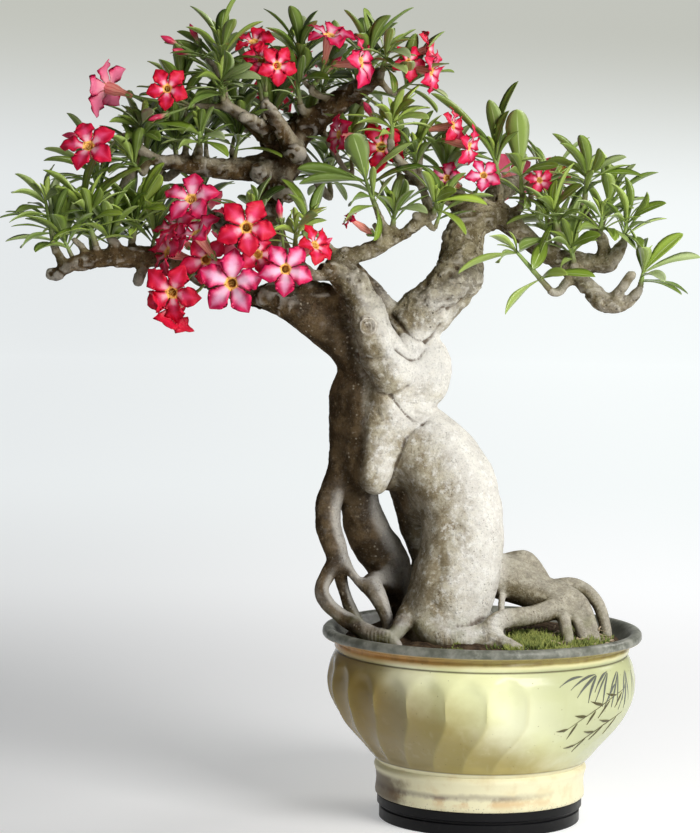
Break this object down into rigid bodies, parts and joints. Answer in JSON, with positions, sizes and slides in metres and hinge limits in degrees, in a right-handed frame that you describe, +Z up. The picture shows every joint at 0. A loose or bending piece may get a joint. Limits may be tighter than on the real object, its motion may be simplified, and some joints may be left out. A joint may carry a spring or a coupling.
{
  "type": "potted desert rose",
  "caption": "Desert rose trained as a bonsai: swollen twisted trunk on bare roots, leafy shoots and crimson blooms, in a round fluted glazed pot on a low black stand.",
  "frame": {"origin": "centre of the stand's underside, where the object rests", "axes": "+Z up, +X to the right and +Y away as seen from the front, towards which the low spray of blooms and the thick front root face"},
  "size_m": [0.637, 0.3409, 0.756],
  "materials": {
    "stand": "satin",
    "glaze": "glossy glaze",
    "soil": "matte",
    "bark": "matte bark",
    "petal": "soft",
    "leaf": "waxy"
  },
  "bodies": {
    "root": {"stand": "stand", "pot": "glaze", "soil": "soil", "tree": "bark", "blooms_left": "petal", "blooms_front": "petal", "blooms_upper_left": "petal", "bloom_left_crown": "petal", "blooms_top": "petal", "blooms_top_right": "petal", "blooms_crown_right": "petal", "bloom_middle": "petal", "blooms_arch": "petal", "blooms_right": "petal", "bloom_far": "petal", "bloom_inner": "petal", "bloom_limb": "petal", "blooms_back_left": "petal", "blooms_back_top": "petal", "blooms_back_right": "petal", "buds_top": "petal", "left_fan": "leaf", "left_outer": "leaf", "left_back": "leaf", "left_inner": "leaf", "left_upper": "leaf", "top_left": "leaf", "top_low_left": "leaf", "top_middle": "leaf", "top_right": "leaf", "top_inner": "leaf", "top_far": "leaf", "top_bright": "leaf", "top_under": "leaf", "front_sprig": "leaf", "back_sprig": "leaf", "middle_big": "leaf", "middle_low": "leaf", "middle_bright": "leaf", "middle_upper": "leaf", "right_first": "leaf", "right_second": "leaf", "right_third": "leaf", "right_fourth": "leaf", "right_fifth": "leaf", "right_sixth": "leaf", "right_seventh": "leaf", "right_shoot": "leaf", "right_low": "leaf", "right_inner": "leaf", "back_top_left": "leaf", "back_top": "leaf", "back_top_right": "leaf", "back_left_low": "leaf", "back_middle": "leaf", "back_right": "leaf", "back_left_high": "leaf", "back_right_low": "leaf", "back_centre": "leaf"}
  },
  "joints": []
}
